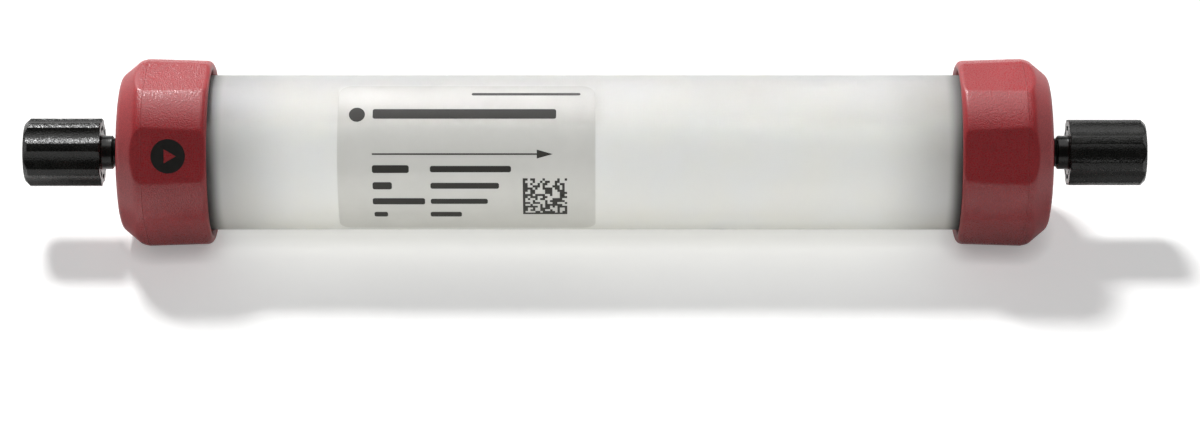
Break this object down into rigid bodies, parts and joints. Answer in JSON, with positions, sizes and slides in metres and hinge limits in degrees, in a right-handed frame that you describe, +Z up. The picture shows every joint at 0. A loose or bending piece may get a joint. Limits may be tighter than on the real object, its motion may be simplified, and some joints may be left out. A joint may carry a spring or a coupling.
{
  "type": "prepacked chromatography column",
  "caption": "Prepacked laboratory chromatography column: milky plastic tube with a wrapped silver label, red six-flat end caps and black fluted stop plugs screwed into its ports.",
  "frame": {"origin": "on the column's axis at the middle of the tube, which is the centre of the bounding box; the bench is 12.72 mm below", "axes": "+X along the column's axis in the flow direction, from inlet to outlet; +Y to the back, away from the label's arrow; +Z up"},
  "size_m": [0.1592, 0.0266, 0.0254],
  "materials": {
    "tube_polypropylene": "translucent satin moulding",
    "bed_beads": "settled wet beads",
    "silver_film": "silver-grey satin polyester film",
    "red_polypropylene": "fine spark-eroded mould texture",
    "natural_polypropylene": "uncoloured smooth moulding",
    "seal_rubber": "smooth moulded rubber",
    "net_polyamide": "woven thread",
    "sintered_polyethylene": "porous sintered",
    "black_plastic": "semi-gloss mould texture"
  },
  "bodies": {
    "column": {"column_tube": "tube_polypropylene", "packed_bed": "bed_beads", "label": "silver_film", "inlet_end_cap": "red_polypropylene", "inlet_end_piece": "natural_polypropylene", "inlet_bore_seal": "seal_rubber", "inlet_face_gasket": "seal_rubber", "inlet_support_net": "net_polyamide", "inlet_filter": "sintered_polyethylene", "outlet_end_cap": "red_polypropylene", "outlet_end_piece": "natural_polypropylene", "outlet_bore_seal": "seal_rubber", "outlet_face_gasket": "seal_rubber", "outlet_support_net": "net_polyamide", "outlet_filter": "sintered_polyethylene"},
    "inlet_plug": {"inlet_stop_plug": "black_plastic"},
    "outlet_plug": {"outlet_stop_plug": "black_plastic"}
  },
  "joints": [
    {"name": "inlet_plug_out", "type": "slide", "parent": "column", "child": "inlet_plug", "axis": [-1, 0, 0], "range_m": [0, 0.012]},
    {"name": "outlet_plug_out", "type": "slide", "parent": "column", "child": "outlet_plug", "axis": [1, 0, 0], "range_m": [0, 0.012]}
  ]
}
